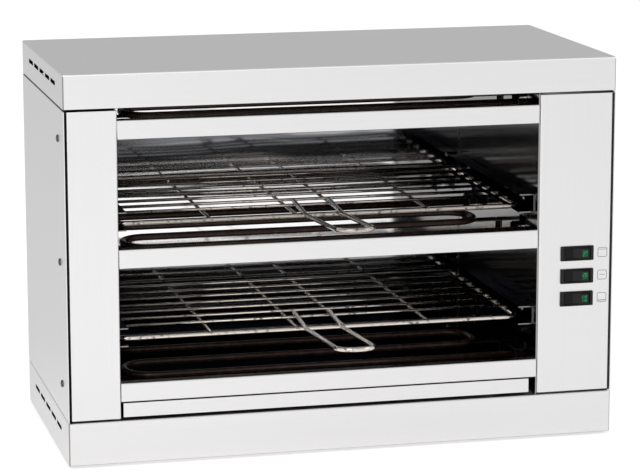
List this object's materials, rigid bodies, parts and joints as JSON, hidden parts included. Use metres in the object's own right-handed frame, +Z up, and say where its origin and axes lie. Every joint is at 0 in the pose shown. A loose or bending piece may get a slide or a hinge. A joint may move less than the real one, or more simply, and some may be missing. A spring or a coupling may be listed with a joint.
{
  "type": "salamander toaster",
  "caption": "Countertop salamander grill and toaster with two open decks, heating elements, pull-out wire racks, rocker switches and a crumb tray",
  "frame": {"origin": "centre of the bounding box's base, on the worktop that the four feet stand on", "axes": "+X runs to the right along the width, towards the switches; +Y runs from the open front to the back; +Z is up"},
  "size_m": [0.5232, 0.3851, 0.363],
  "materials": {
    "brushed": "brushed stainless sheet",
    "mirror_sheet": "bright polished stainless sheet",
    "wire": "bright plated wire",
    "element_sheath": "dark oxidised sheath",
    "zinc": "plain metal",
    "screws": "bright plated",
    "black_plastic": "black moulded",
    "green_lens": "clear green",
    "pale_plastic": "natural",
    "foot_rubber": "black rubber"
  },
  "bodies": {
    "casing": {"base_pan": "brushed", "top_cap": "brushed", "bottom_cover": "brushed", "left_side_panel": "brushed", "right_side_panel": "brushed", "rear_panel": "brushed", "front_left_post": "brushed", "control_panel": "brushed", "lower_bar": "brushed", "middle_bar": "brushed", "upper_bar": "brushed", "tray_runners": "brushed", "cavity_left_wall": "mirror_sheet", "cavity_right_wall": "mirror_sheet", "cavity_rear_wall": "mirror_sheet", "top_reflector": "mirror_sheet", "lower_left_rail": "mirror_sheet", "lower_right_rail": "mirror_sheet", "upper_left_rail": "mirror_sheet", "upper_right_rail": "mirror_sheet", "lower_element": "element_sheath", "middle_element": "element_sheath", "top_element": "element_sheath", "element_bushes": "zinc", "element_terminals": "zinc", "element_clips": "zinc", "switch_tabs": "zinc", "gland_locknut": "zinc", "earth_stud": "zinc", "side_screws": "screws", "rear_screws": "screws", "rail_screws": "screws", "flange_screws": "screws", "foot_screws": "screws", "lower_switch_housing": "black_plastic", "middle_switch_housing": "black_plastic", "upper_switch_housing": "black_plastic", "cable_gland": "black_plastic", "terminal_block": "pale_plastic", "rubber_feet": "foot_rubber"},
    "upper_rack": {"upper_rack_frame": "wire", "upper_rack_rods": "wire", "upper_rack_handle": "wire"},
    "lower_rack": {"lower_rack_frame": "wire", "lower_rack_rods": "wire", "lower_rack_handle": "wire"},
    "crumb_drawer": {"crumb_tray": "brushed"},
    "upper_switch": {"upper_rocker": "black_plastic", "upper_lens": "green_lens"},
    "middle_switch": {"middle_rocker": "black_plastic", "middle_lens": "green_lens"},
    "lower_switch": {"lower_rocker": "black_plastic", "lower_lens": "green_lens"}
  },
  "joints": [
    {"name": "upper_rack_slide", "type": "slide", "parent": "casing", "child": "upper_rack", "axis": [0, -1, 0], "range_m": [0, 0.2]},
    {"name": "lower_rack_slide", "type": "slide", "parent": "casing", "child": "lower_rack", "axis": [0, -1, 0], "range_m": [0, 0.2]},
    {"name": "crumb_tray_slide", "type": "slide", "parent": "casing", "child": "crumb_drawer", "axis": [0, -1, 0], "range_m": [0, 0.2]},
    {"name": "upper_switch_rock", "type": "hinge", "parent": "casing", "child": "upper_switch", "pos_m": [0.2243, -0.07745, 0.1777], "axis": [0, 0, 1], "range_deg": [0, 14]},
    {"name": "middle_switch_rock", "type": "hinge", "parent": "casing", "child": "middle_switch", "pos_m": [0.2243, -0.07745, 0.15595], "axis": [0, 0, 1], "range_deg": [0, 14]},
    {"name": "lower_switch_rock", "type": "hinge", "parent": "casing", "child": "lower_switch", "pos_m": [0.2243, -0.07745, 0.1342], "axis": [0, 0, 1], "range_deg": [0, 14]}
  ]
}
